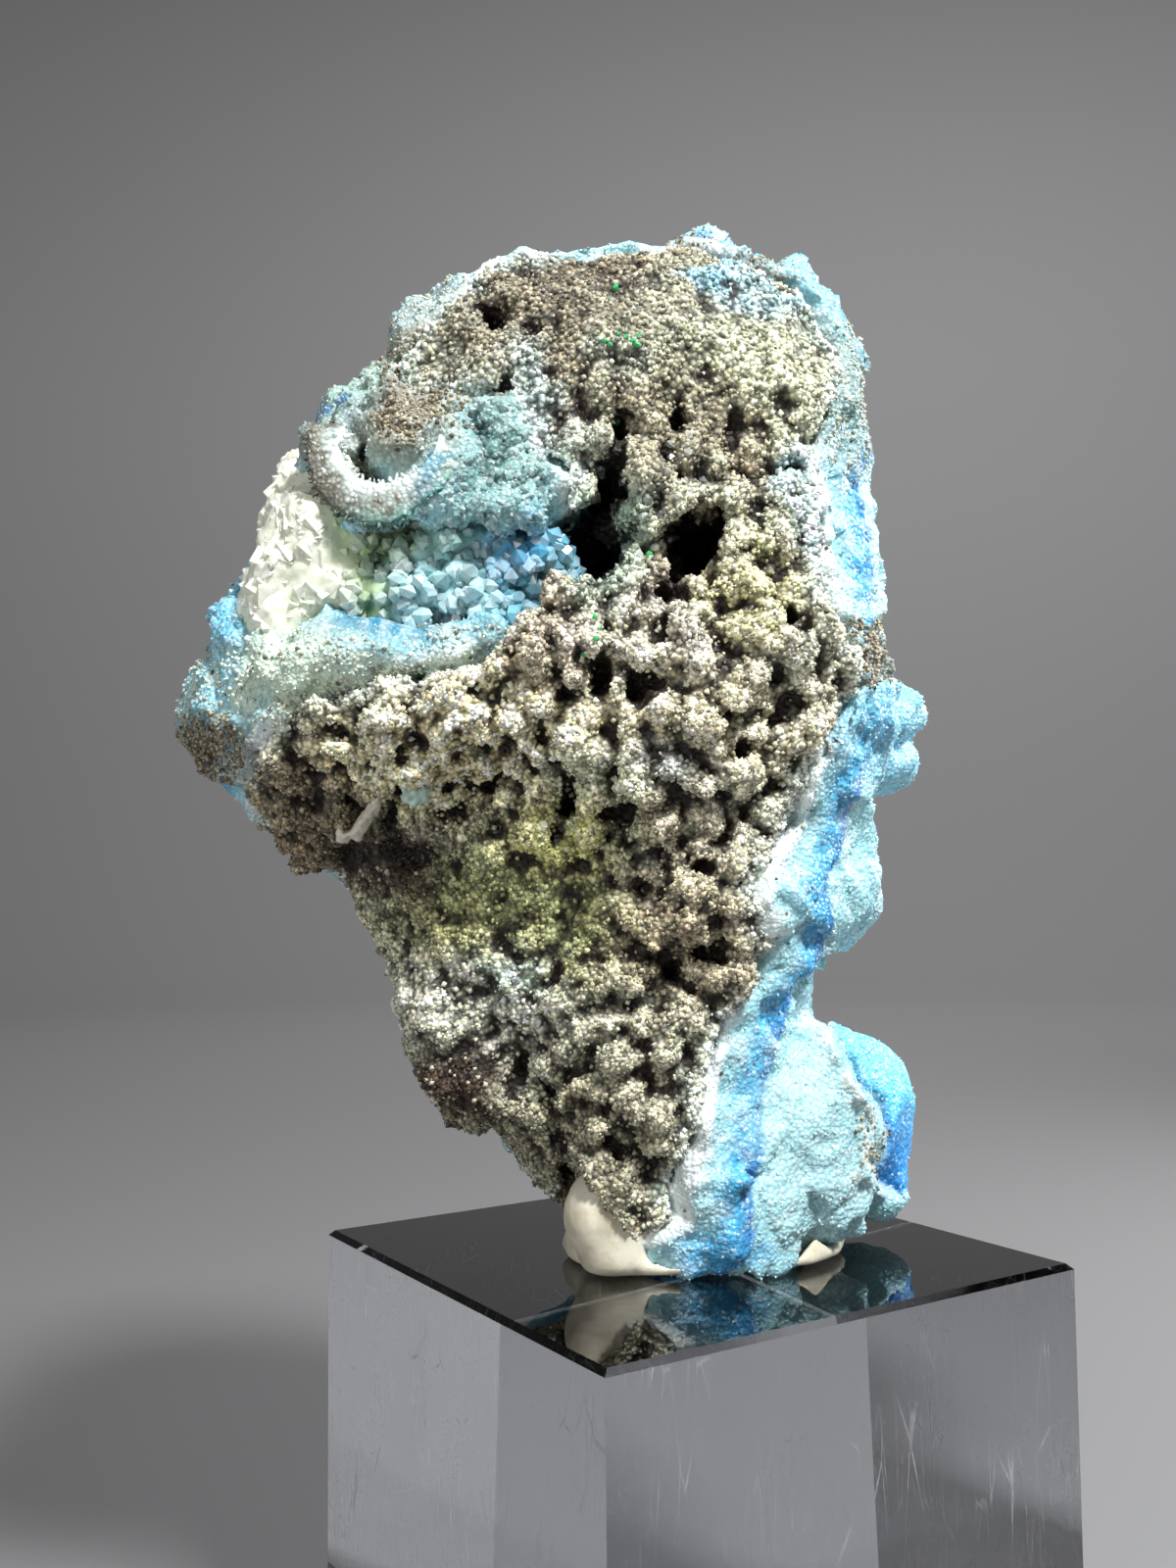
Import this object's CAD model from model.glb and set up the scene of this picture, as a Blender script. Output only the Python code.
# The looks of a hemimorphite specimen on a clear display block. The pitted brown matrix, the blue crust
# and the crystals of the vug are fine meshes grown from the CAD solids, with grains strewn over them.
# Lengths are in millimetres until a mesh is made.
import math

import bmesh
import bpy
import numpy as np
from mathutils import Matrix, Vector
from mathutils.bvhtree import BVHTree


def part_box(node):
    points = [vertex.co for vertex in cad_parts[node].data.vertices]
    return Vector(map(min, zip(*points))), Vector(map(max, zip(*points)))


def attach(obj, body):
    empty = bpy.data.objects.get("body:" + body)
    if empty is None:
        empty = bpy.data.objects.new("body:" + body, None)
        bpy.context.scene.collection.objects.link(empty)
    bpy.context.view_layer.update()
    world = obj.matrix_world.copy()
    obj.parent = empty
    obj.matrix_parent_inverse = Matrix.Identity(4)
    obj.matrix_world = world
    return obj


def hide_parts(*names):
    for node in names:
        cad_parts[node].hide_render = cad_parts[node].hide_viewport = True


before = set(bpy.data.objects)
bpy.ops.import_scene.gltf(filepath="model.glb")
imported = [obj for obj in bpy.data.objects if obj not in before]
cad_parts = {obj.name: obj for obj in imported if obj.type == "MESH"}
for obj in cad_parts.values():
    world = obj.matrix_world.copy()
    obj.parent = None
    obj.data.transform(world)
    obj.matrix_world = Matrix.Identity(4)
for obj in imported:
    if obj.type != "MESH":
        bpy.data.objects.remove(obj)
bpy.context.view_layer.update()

# Driving values

MM = 0.001
BLOCK_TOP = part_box("display_block")[1].z / MM

# The photograph's view: its size in pixels, where it was taken from and how it was aimed.
IMAGE = (1200, 1600)
EYE = np.array([-8.35, -138.95, 84.64])
PITCH = math.radians(3.726)
ROLL = math.radians(-0.521)
FOCAL = 1477.0
SENSOR = 36.0

# Voxel sizes of the fine meshes.
COARSE_VOXEL = 0.7
MATRIX_VOXEL = 0.45
CRUST_VOXEL = 0.55
COARSE_VUG_VOXEL = 0.5
VUG_VOXEL = 0.35
PUTTY_VOXEL = 0.45

# How many small things are strewn over the stone.
GRANULE_COUNT = 13000
MATRIX_GRAIN_COUNT = 21000
MATRIX_FROST_COUNT = 9000
MATRIX_CRYSTAL_COUNT = 350
SUGAR_GRAIN_COUNT = 14000
VUG_BALL_COUNT = 200
VUG_CRYSTAL_COUNT = 1300
CRUST_CRYSTAL_COUNT = 2000
BROWN_GRAIN_COUNT = 12000
PALE_BLOCK_COUNT = 700
CURL_NEEDLE_COUNT = 1900

# Their smallest and largest radii.
GRANULE_RADIUS = (0.3, 0.65)
MATRIX_GRAIN_RADIUS = (0.17, 0.36)
MATRIX_FROST_RADIUS = (0.09, 0.19)
MATRIX_CRYSTAL_RADIUS = (0.2, 0.5)
SUGAR_GRAIN_RADIUS = (0.07, 0.17)
VUG_BALL_RADIUS = (0.7, 1.5)
VUG_CRYSTAL_RADIUS = (0.28, 0.9)
CRUST_CRYSTAL_RADIUS = (0.15, 0.4)
BROWN_GRAIN_RADIUS = (0.09, 0.28)
PALE_BLOCK_RADIUS = (0.35, 1.3)
CURL_NEEDLE_RADIUS = (0.06, 0.15)
GREEN_CRYSTAL_RADIUS = (0.2, 0.34)

# Colours as they show in the photograph, as display values from 0 to 1. First the matrix.
CREVICE = (0.13, 0.10, 0.07)
KHAKI = (0.74, 0.74, 0.65)
UMBER = (0.64, 0.60, 0.51)
ROCK_NEAR_CRUST = (0.80, 0.87, 0.84)
GRAIN_NEAR_CRUST = (0.82, 0.89, 0.87)
SHELF_TOP = (0.93, 0.91, 0.89)
GLINT = (0.86, 0.82, 0.74)
GRAIN_FROST = (0.95, 0.94, 0.90)

# The crust, the specks and grains on it, and the plate's crest and the lobes behind it.
FROST = (0.93, 0.97, 0.97)
PALE_BLUE = (0.66, 0.88, 0.92)
SKY_BLUE = (0.34, 0.72, 0.90)
DEEP_BLUE = (0.10, 0.46, 0.78)
WHITE_SPECK = (0.92, 0.95, 0.88)
BROWN_SPECK = (0.40, 0.37, 0.28)
DARK_GRAIN = (0.24, 0.20, 0.15)
LIGHT_GRAIN = (0.82, 0.78, 0.66)
PALE_GRAIN = (0.86, 0.92, 0.86)
CREST = (0.80, 0.77, 0.72)
LOW_LOBE = (0.15, 0.60, 0.92)
HIGH_LOBE = (0.44, 0.82, 0.94)

# The vug from left to right, and the creases of the pale mass at its left.
PALE_GREEN = (0.98, 0.99, 0.91)
VUG_GREEN = (0.70, 0.80, 0.60)
VUG_WHITE = (0.78, 0.94, 0.95)
VUG_BLUE = (0.46, 0.78, 0.88)
PALE_CREASE = (0.80, 0.88, 0.74)

# The curl: the ridge under its lip and the ridge's outer side, then the lip itself.
RIDGE = (0.70, 0.77, 0.74)
RIDGE_SIDE = (0.44, 0.40, 0.32)
LIP_DULL = (0.56, 0.62, 0.58)
LIP_BRIGHT = (0.72, 0.78, 0.75)
LIP_EDGE = (0.90, 0.94, 0.92)
LIP_FRINGE = (0.54, 0.74, 0.70)
LIP_BROWN = (0.38, 0.34, 0.27)
LIP_BLUE = (0.44, 0.68, 0.76)

# The small things and the putty.
GREEN = (0.34, 0.78, 0.50)
FLAKE = (0.88, 0.86, 0.80)
DROP = (0.72, 0.82, 0.78)
DULL_PUTTY = (0.74, 0.70, 0.60)
BRIGHT_PUTTY = (0.90, 0.88, 0.80)

# The acrylic and the floor, as scene-linear values.
ACRYLIC = (0.64, 0.65, 0.68)
FLOOR_GREY = (0.23, 0.23, 0.235)

# Stains of the matrix, seen from the front: centre and reach in pixels of the photograph, colour, strength.
MATRIX_STAINS = [
    ((570, 850), (85, 42), (0.80, 0.79, 0.56), 0.9),
    ((568, 850), (40, 26), (0.98, 0.97, 0.62), 1.0),
    ((530, 930), (140, 70), (0.60, 0.62, 0.38), 0.8),
    ((480, 1030), (120, 65), (0.86, 0.87, 0.79), 0.85),
    ((520, 990), (50, 16), (0.70, 0.80, 0.74), 0.7),
    ((462, 1100), (58, 56), (0.22, 0.17, 0.12), 1.0),
    ((540, 1140), (45, 40), (0.42, 0.42, 0.33), 0.7),
    ((600, 276), (110, 12), (0.26, 0.22, 0.18), 0.9),
    ((475, 300), (40, 20), (0.70, 0.76, 0.76), 0.8),
    ((735, 286), (45, 13), (0.56, 0.80, 0.90), 1.0),
    ((790, 304), (50, 17), (0.56, 0.80, 0.90), 1.0),
    ((838, 330), (28, 28), (0.60, 0.82, 0.90), 1.0),
    ((825, 485), (34, 22), (0.76, 0.92, 0.94), 1.0),
    ((838, 560), (20, 60), (0.78, 0.92, 0.92), 0.9),
    ((655, 530), (28, 48), (0.60, 0.68, 0.60), 0.8),
    ((300, 830), (110, 70), (0.48, 0.42, 0.32), 0.8),
    ((400, 862), (80, 50), (0.22, 0.18, 0.13), 0.9),
    ((700, 950), (90, 90), (0.62, 0.57, 0.47), 0.7),
    ((610, 1160), (110, 110), (0.58, 0.56, 0.47), 0.8),
    ((480, 745), (150, 50), (0.99, 0.94, 0.75), 1.0),
    ((470, 775), (110, 40), (0.99, 0.93, 0.72), 0.9),
    ((780, 380), (100, 90), (0.79, 0.80, 0.68), 0.9),
    ((560, 315), (130, 60), (0.46, 0.44, 0.37), 0.8),
    ((690, 425), (70, 60), (0.50, 0.46, 0.38), 0.7),
    ((650, 360), (40, 30), (0.60, 0.63, 0.58), 0.7),
    ((700, 640), (120, 60), (0.82, 0.80, 0.76), 0.7),
    ((640, 670), (60, 45), (0.92, 0.90, 0.76), 0.7),
    ((775, 610), (60, 60), (0.78, 0.77, 0.54), 0.7),
    ((730, 740), (110, 60), (0.84, 0.81, 0.66), 0.6),
    ((620, 560), (40, 60), (0.58, 0.66, 0.58), 0.8),
    ((590, 790), (50, 30), (0.80, 0.82, 0.70), 0.8),
    ((690, 780), (40, 30), (0.58, 0.62, 0.64), 0.7),
    ((548, 450), (34, 85), (0.72, 0.80, 0.78), 0.9),
    ((600, 470), (26, 60), (0.70, 0.74, 0.68), 0.7),
    ((480, 390), (50, 26), (0.66, 0.68, 0.62), 0.6),
]

# Stains of the crust, in the same way.
CRUST_STAINS = [
    ((440, 320), (70, 50), (0.72, 0.80, 0.80), 0.9),
    ((370, 385), (50, 60), (0.72, 0.84, 0.78), 0.9),
    ((440, 375), (55, 38), (0.55, 0.49, 0.40), 0.9),
    ((322, 452), (22, 40), (0.62, 0.60, 0.54), 0.9),
    ((330, 410), (16, 12), (0.16, 0.50, 0.80), 0.9),
    ((400, 450), (62, 48), (0.60, 0.62, 0.57), 1.0),
    ((425, 430), (34, 26), (0.54, 0.48, 0.40), 0.9),
    ((390, 640), (85, 36), (0.38, 0.64, 0.72), 0.9),
    ((298, 675), (75, 52), (0.84, 0.91, 0.84), 0.95),
    ((515, 650), (45, 36), (0.46, 0.70, 0.75), 0.8),
    ((395, 626), (62, 22), (0.18, 0.52, 0.66), 0.9),
    ((330, 700), (150, 38), (0.83, 0.92, 0.84), 0.9),
    ((225, 610), (50, 60), (0.50, 0.82, 0.95), 0.9),
    ((215, 700), (40, 50), (0.60, 0.84, 0.92), 0.9),
    ((210, 765), (48, 36), (0.34, 0.29, 0.23), 1.0),
    ((555, 1205), (40, 40), (0.42, 0.40, 0.32), 1.0),
    ((510, 470), (75, 90), (0.57, 0.73, 0.71), 0.95),
    ((545, 600), (50, 50), (0.46, 0.72, 0.80), 0.8),
    ((710, 250), (34, 18), (0.80, 0.82, 0.80), 0.9),
    ((780, 290), (90, 28), (0.58, 0.83, 0.90), 0.7),
    ((830, 1180), (62, 120), (0.70, 0.87, 0.89), 0.9),
    ((885, 668), (36, 36), (0.50, 0.46, 0.39), 0.9),
    ((765, 275), (44, 10), (0.42, 0.38, 0.32), 0.8),
    ((865, 400), (40, 85), (0.45, 0.58, 0.57), 0.9),
    ((735, 1285), (50, 22), (0.30, 0.66, 0.86), 0.7),
    ((905, 740), (50, 55), (0.48, 0.80, 0.93), 0.7),
]

# Stains of the vug's crystals, in the same way.
VUG_STAINS = [
    ((395, 548), (52, 32), (0.66, 0.76, 0.48), 0.85),
    ((375, 600), (22, 18), (0.80, 0.88, 0.72), 0.7),
    ((440, 590), (52, 30), (0.72, 0.90, 0.92), 0.8),
    ((470, 545), (40, 24), (0.56, 0.78, 0.74), 0.7),
    ((530, 560), (42, 34), (0.28, 0.64, 0.82), 0.8),
    ((464, 628), (22, 10), (0.05, 0.22, 0.26), 0.9),
    ((552, 610), (16, 14), (0.05, 0.22, 0.28), 0.9),
    ((415, 578), (9, 10), (0.10, 0.18, 0.16), 0.8),
]

# Dark hollows of the front, in the same way, with their depth in millimetres.
HOLLOWS = [
    ((630, 476), (13, 40), 6.0),
    ((602, 556), (34, 34), 8.0),
    ((617, 516), (16, 30), 6.0),
    ((708, 556), (28, 30), 6.0),
    ((690, 600), (20, 12), 3.0),
    ((695, 425), (5, 18), 3.0),
    ((512, 392), (10, 12), 3.0),
    ((496, 312), (15, 8), 2.0),
    ((540, 332), (6, 8), 2.0),
    ((566, 334), (6, 10), 2.0),
    ((752, 435), (9, 26), 2.0),
    ((430, 682), (9, 10), 2.5),
    ((540, 776), (8, 8), 2.5),
    ((655, 705), (22, 18), 3.0),
    ((612, 690), (10, 26), 3.0),
    ((682, 985), (14, 14), 3.0),
    ((406, 876), (40, 18), 1.6),
    ((352, 880), (26, 12), 1.2),
]

# Places where the matrix comes forward, in the same way.
SWELLINGS = [
    ((568, 852), (40, 26), 2.2),
]

# Patches of the crust that are covered with small crystals, in the same way, with how thick they stand.
DRUSES = [
    ((510, 470), (58, 85), 1.0),
    ((440, 540), (95, 40), 1.0),
    ((385, 375), (40, 60), 0.5),
    ((240, 615), (34, 55), 0.7),
    ((545, 610), (45, 35), 0.6),
]

# Patches of the matrix that are covered with small crystals, in the same way.
MATRIX_DRUSES = [
    ((655, 530), (32, 50), 1.0),
    ((690, 475), (40, 26), 0.6),
    ((510, 990), (50, 18), 0.5),
    ((572, 850), (30, 20), 1.0),
]

# Slopes where the matrix is less lumpy, in the same way, with how much of its relief is lost.
CALM_SLOPES = [
    ((490, 930), (165, 85), 0.6),
    ((500, 1035), (120, 70), 0.45),
    ((300, 830), (100, 80), 0.3),
]

# Places where the relief is held back, so that the outline follows the photograph's, in the same way,
# with how far in millimetres.
HELD_BACK = [
    ((580, 248), (95, 32), 1.5),
    ((780, 245), (32, 28), 1.3),
    ((360, 355), (45, 45), 1.2),
    ((445, 280), (45, 28), 1.0),
    ((190, 645), (28, 34), 1.6),
    ((355, 965), (60, 90), 1.8),
    ((515, 1205), (75, 55), 2.4),
    ((915, 660), (30, 34), 1.0),
    ((850, 1000), (22, 30), 1.2),
]

# Patches of the crust that are covered with brown grains of the matrix, in the same way.
BROWN_PATCHES = [
    ((212, 764), (45, 34), 1.0),
    ((555, 1205), (45, 45), 1.0),
    ((428, 425), (48, 30), 0.8),
    ((440, 375), (60, 34), 0.7),
    ((885, 668), (34, 34), 1.0),
    ((700, 252), (24, 14), 0.4),
    ((398, 690), (26, 20), 0.7),
    ((345, 708), (22, 15), 0.6),
    ((300, 724), (30, 13), 0.6),
    ((560, 672), (16, 22), 0.6),
    ((765, 275), (40, 9), 0.8),
    ((886, 1165), (14, 40), 0.12),
]

# Patches of the crust that are speckled brown and white, in the same way.
SPECKLED = [
    ((330, 695), (160, 42), 1.0),
    ((480, 660), (70, 26), 0.7),
    ((215, 705), (45, 60), 0.4),
    ((440, 320), (70, 50), 0.6),
    ((865, 400), (36, 90), 0.5),
]

# The rim of the vug, where it is worn round, in the same way, with how much.
WORN_RIM = [((326, 600), (42, 34), 1.0), ((385, 622), (60, 30), 1.0)]

# Small green crystals: where they show, in pixels of the photograph.
GREEN_SPOTS = [
    (616, 348), (622, 352), (631, 341), (639, 344), (646, 348), (652, 343), (650, 352), (628, 294),
    (625, 425), (630, 431), (714, 509), (606, 630), (612, 641), (608, 652), (596, 668), (662, 566),
]

# The thin white flake under the ledge: points along it and the ball beside it, in pixels of the photograph,
# and how many beads and drops they are made of.
FLAKE_PATH = [(352, 842), (358, 856), (370, 853), (379, 840), (386, 826), (389, 808)]
FLAKE_BALL = (425, 813)
FLAKE_BEADS = 60
FLAKE_DROPS = 9
FLAKE_VOXEL = 0.16

# The lumpy shelf with frosted tops: its centre and reach in pixels of the photograph.
SHELF = np.array([[690, 710], [190, 120]])

# The smooth blue roll below the vug: its centre and reach in pixels of the photograph.
BLUE_ROLL = np.array([[400, 630], [80, 26]])

# The dark lump at the lower left: its centre and radius, and the lower end, which is worn round.
DARK_LUMP = np.array([-20.3, -6.5, 66.6])
DARK_LUMP_RADIUS = 3.3
LUMP_END = np.array([-20.0, -8.0, 61.0])

# The lobe of putty pressed up beside the foot: centres and radii of the two balls in it.
PUTTY_CENTRES = np.array([[-6.4, -9.4, 52.0], [-6.9, -9.4, 55.2]])
PUTTY_RADII = np.array([[3.3, 3.0, 4.0], [4.1, 3.3, 4.6]])
PUTTY_FLOOR = BLOCK_TOP + 0.1

# The edge of the foot beside the putty lobe, from its upper to its lower end, in pixels of the photograph.
FOOT_EDGE = np.array([[588, 1185], [664, 1300]])
FOOT_EDGE_DEPTH = 6.0

# The heads and buds of the matrix: how far apart and how tall they are, and how deep the gaps are.
HEAD_SPACING = 2.7
HEAD_HEIGHT = 2.3
BUD_SPACING = 1.25
BUD_HEIGHT = 1.1
GAP_DEPTH = 1.9
CANYON_DEPTH = 1.8

# The knobs on the back of the crust, large, middling and small: how far apart they are.
LARGE_KNOBS = 11
MIDDLE_KNOBS = 6.2
SMALL_KNOBS = 2.9

# Lumps that fill out the pale mass left of the vug: centre and radius.
PALE_LUMPS = np.array([
    [-32.0, -16.5, 112.5, 4.4],
    [-34.0, -16.0, 108.5, 4.2],
    [-32.5, -13.0, 117.0, 4.2],
    [-29.5, -17.0, 110.0, 3.6],
    [-33.0, -10.5, 120.5, 3.4],
    [-35.5, -15.0, 106.0, 3.4],
])

# The ragged crest of the pale plate at the lower right, downwards, in pixels of the photograph.
PLATE_CREST = np.array([
    [838, 1035], [856, 1075], [868, 1105], [893, 1130], [903, 1165], [886, 1200], [905, 1218], [945, 1222],
])

# The curl above the vug: its centre across and up, and its radius.
CURL_CENTRE = (-24.85, 120.7)
CURL_RADIUS = 5.0

# The lump inside the curl: its centre and radii.
CURL_LUMP = np.array([[-23.7, -19.4, 121.6], [3.4, 2.9, 3.4]])

# The groove inside the left of the curl: how far it lies inside the radius, its half width and its depth.
GROOVE_INSET = 2.1
GROOVE_WIDTH = 0.85
GROOVE_DEPTH = 1.8

# The lip of the curl: its ends in degrees from its lowest point, its half width and how much of that its
# right end loses, how far it stands proud of what it lies on, and how far it reaches into it.
CURL_ENDS = (-125, 105)
LIP_WIDTH = 1.3
LIP_SLIMMER = 0.5
LIP_PROUD = 0.22
LIP_ROOT = 2.6

# The steps along the lip and the sides around it, how many steps it bridges to either side and is evened
# out over, and a place in front of the stone to look for the surface from.
CURL_STEPS = 240
CURL_SIDES = 20
CURL_BRIDGE = 14
CURL_EVENED = 30
CURL_SHOWN_FROM = -40.0

# The floor and the wall around it, the middle of the stone, which the lights are aimed at, and the strength
# of the even light from all round.
FLOOR_REACH = 900.0
WALL_REACH = 1500.0
WALL_HEIGHT = 1400.0
WALL_STEPS = 12
WALL_SIDES = 96
STONE_MIDDLE = (-10, -5, 105)
EVEN_LIGHT = 0.12

# Whole numbers that scramble a cell's place and a seed into a random number.
CELL_PRIMES = (73856093, 19349663, 83492791)
SEED_PRIME = 2654435761
SCRAMBLER = 0x45D9F3B
LOW_BITS = 0xFFFFFFFF

# Noise and numbers


def smoothstep(low, high, value):
    share = np.clip((value - low) / (high - low), 0, 1)
    return share * share * (3 - 2 * share)


def mixed(first, second, share):
    return first + (second - first) * np.asarray(share)[..., None]


def linear(colour):
    """Scene-linear values of a display colour."""
    colour = np.asarray(colour, float)
    return np.where(colour <= 0.04045, colour / 12.92, ((colour + 0.055) / 1.055) ** 2.4)


def tinted(colours, colour, share):
    """Colours mixed with one display colour."""
    return mixed(colours, linear(colour), share)


def hashed(cell, seed):
    """A random number from 0 to 1 for each whole-number cell."""
    across, along, up = (cell[:, axis] * CELL_PRIMES[axis] for axis in range(3))
    value = (across ^ along ^ up ^ seed * SEED_PRIME) & LOW_BITS
    for _ in range(2):
        value = ((value >> 16) ^ value) * SCRAMBLER & LOW_BITS
    return ((value >> 16) ^ value) / LOW_BITS


def noise(points, size, seed=0):
    """Smooth random values from -1 to 1 that change over about one size."""
    place = points / size
    cell = np.floor(place).astype(np.int64)
    share = place - cell
    share = share * share * (3 - 2 * share)
    total = np.zeros(len(points))
    for corner in np.ndindex(2, 2, 2):
        weight = np.prod(np.where(corner, share, 1 - share), axis=1)
        total += weight * hashed(cell + np.array(corner), seed)
    return 2 * total - 1


def layered(points, size, octaves, seed=0):
    """Noise with ever finer and fainter detail."""
    return sum(noise(points, size / 2**k, seed + k) / 2**k for k in range(octaves))


def stray(points, size, seed):
    """Random shifts for the points across and up, from -1 to 1, which make an edge ragged."""
    return np.stack([noise(points, size, seed), noise(points, size, seed + 1)], axis=1)


def cells_near(points, size, seed):
    """The cells around each point, one of the 27 at a time, and the way there from the seed in each cell."""
    place = points / size
    home = np.floor(place).astype(np.int64)
    for step in np.ndindex(3, 3, 3):
        cell = home + np.array(step) - 1
        yield cell, place - cell - np.stack([hashed(cell, seed + k) for k in (1, 2, 3)], axis=1)


def leaning(cell, seed):
    """A direction of its own for each cell."""
    return 2 * np.stack([hashed(cell, seed + k) for k in (4, 5, 6)], axis=1) - 1


def seeds_near(points, size, seed=0):
    """Distance, in cells, from each point to the nearest seed, one to a cell, and that cell's own number."""
    nearest = np.full(len(points), np.inf)
    own = np.zeros(len(points))
    for cell, away in cells_near(points, size, seed):
        distance = np.linalg.norm(away, axis=1)
        closer = distance < nearest
        nearest[closer] = distance[closer]
        own[closer] = hashed(cell[closer], seed)
    return nearest, own


def domes(points, size, seed=0):
    """Rounded domes packed side by side, from 0 in the creases to 1 on top."""
    nearest, _ = seeds_near(points, size, seed)
    return np.sqrt(np.clip(1 - nearest**2, 0, 1))


def facets(points, size, seed=0):
    """Heights of flat facets that are each tilted their own way, like a broken crystal mass."""
    nearest = np.full(len(points), np.inf)
    height = np.zeros(len(points))
    for cell, away in cells_near(points, size, seed):
        distance = np.linalg.norm(away, axis=1)
        closer = distance < nearest
        nearest[closer] = distance[closer]
        height[closer] = np.sum(away * leaning(cell, seed), axis=1)[closer]
    return height * size


def blocky(points, size, seed=0):
    """Heights, up to 1, of flat-sided lumps packed side by side, each turned its own way."""
    nearest = np.full(len(points), np.inf)
    for cell, away in cells_near(points, size, seed):
        reach = np.zeros(len(points))
        for side in range(4):
            lean = leaning(cell, seed + 3 * side)
            lean /= np.maximum(np.linalg.norm(lean, axis=1, keepdims=True), 0.2)
            reach = np.maximum(reach, np.abs(np.sum(away * lean, axis=1)))
        nearest = np.minimum(nearest, reach)
    return 1 - nearest


# Meshes as arrays of points, in millimetres, and triangles


def mesh_of(name, points, triangles):
    mesh = bpy.data.meshes.new(name)
    mesh.vertices.add(len(points))
    mesh.vertices.foreach_set("co", (points * MM).astype(np.float32).ravel())
    mesh.loops.add(3 * len(triangles))
    mesh.loops.foreach_set("vertex_index", triangles.astype(np.int32).ravel())
    mesh.polygons.add(len(triangles))
    mesh.polygons.foreach_set("loop_start", np.arange(0, 3 * len(triangles), 3, dtype=np.int32))
    mesh.update(calc_edges=True)
    return mesh


def arrays_of(mesh):
    points = np.empty(3 * len(mesh.vertices), np.float32)
    mesh.vertices.foreach_get("co", points)
    mesh.calc_loop_triangles()
    triangles = np.empty(3 * len(mesh.loop_triangles), np.int32)
    mesh.loop_triangles.foreach_get("vertices", triangles)
    return points.reshape(-1, 3).astype(float) / MM, triangles.reshape(-1, 3)


def node_shape(name):
    return arrays_of(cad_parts[name].data)


def together(*shapes):
    points = np.concatenate([shape[0] for shape in shapes])
    starts = np.cumsum([0] + [len(shape[0]) for shape in shapes])
    triangles = np.concatenate([shape[1] + start for shape, start in zip(shapes, starts)])
    return points, triangles


def remeshed(points, triangles, voxel):
    """One closed even mesh around everything that the triangles enclose."""
    shape = bpy.data.objects.new("rough", mesh_of("rough", points, triangles))
    bpy.context.scene.collection.objects.link(shape)
    modifier = shape.modifiers.new("voxels", "REMESH")
    modifier.mode = "VOXEL"
    modifier.voxel_size = voxel * MM
    seen = shape.evaluated_get(bpy.context.evaluated_depsgraph_get())
    result = arrays_of(seen.to_mesh())
    seen.to_mesh_clear()
    bpy.data.meshes.remove(shape.data)
    return result


def face_normals(points, triangles):
    """Each triangle's normal, as long as twice its area."""
    corner = points[triangles]
    return np.cross(corner[:, 1] - corner[:, 0], corner[:, 2] - corner[:, 0])


def normals_of(points, triangles):
    face = face_normals(points, triangles)
    total = np.zeros_like(points)
    for corner in range(3):
        for axis in range(3):
            total[:, axis] += np.bincount(triangles[:, corner], face[:, axis], len(points))
    return total / np.maximum(np.linalg.norm(total, axis=1, keepdims=True), 1e-12)


def relaxed(points, triangles, rounds):
    """The points, each drawn towards its neighbours a number of times."""
    ends = np.concatenate([triangles[:, [0, 1]], triangles[:, [1, 2]], triangles[:, [2, 0]]])
    count = np.maximum(np.bincount(ends[:, 0], minlength=len(points)), 1)
    for _ in range(rounds):
        total = [np.bincount(ends[:, 0], points[ends[:, 1], axis], len(points)) for axis in range(3)]
        points = (points + np.stack(total, axis=1) / count[:, None]) / 2
    return points


def standing_out(points, triangles, rounds):
    """How far each point stands out of the smoothed surface, negative in hollows."""
    smooth = relaxed(points, triangles, rounds)
    return np.sum((points - smooth) * normals_of(smooth, triangles), axis=1)


def tree_of(points, triangles):
    """A tree to look up a mesh's nearest point or its crossing with a ray in."""
    return BVHTree.FromPolygons(points.tolist(), triangles.tolist())


def distance_to(tree, points):
    return np.array([tree.find_nearest(point)[3] for point in points.tolist()])


# Strewing small shapes

# A slanted block with flat sides and an eight-sided grain, as points and triangles.
RHOMB = (
    np.array(list(np.ndindex(2, 2, 2))) @ (2 * np.eye(3) + 0.15 * (1 - np.eye(3))) - 1.15,
    np.array([
        [0, 1, 3], [0, 3, 2], [4, 6, 7], [4, 7, 5], [0, 4, 5], [0, 5, 1],
        [2, 3, 7], [2, 7, 6], [0, 2, 6], [0, 6, 4], [1, 5, 7], [1, 7, 3],
    ]),
)
OCTAHEDRON = (
    np.array([[1, 0, 0], [-1, 0, 0], [0, 1, 0], [0, -1, 0], [0, 0, 1], [0, 0, -1]], float),
    np.array([[0, 2, 4], [2, 1, 4], [1, 3, 4], [3, 0, 4], [2, 0, 5], [1, 2, 5], [3, 1, 5], [0, 3, 5]]),
)


def ball(subdivisions):
    sphere = bmesh.new()
    bmesh.ops.create_icosphere(sphere, subdivisions=subdivisions, radius=1)
    points = np.array([vertex.co for vertex in sphere.verts])
    triangles = np.array([[vertex.index for vertex in face.verts] for face in sphere.faces])
    sphere.free()
    return points, triangles


def pointed_prism(sides, shoulder):
    """A crystal one unit tall and one in radius, with a point above its shoulder."""
    turn = 2 * math.pi * np.arange(sides) / sides
    ring = np.stack([np.cos(turn), np.sin(turn)], axis=1)
    foot = np.column_stack([ring, np.zeros(sides)])
    neck = np.column_stack([ring, np.full(sides, shoulder)])
    points = np.concatenate([foot, neck, [[0, 0, 1], [0, 0, 0]]])
    triangles = []
    for i in range(sides):
        j = (i + 1) % sides
        triangles += [[i, j, sides + j], [i, sides + j, sides + i]]
        triangles += [[sides + i, sides + j, 2 * sides], [j, i, 2 * sides + 1]]
    return points, np.array(triangles)


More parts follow.
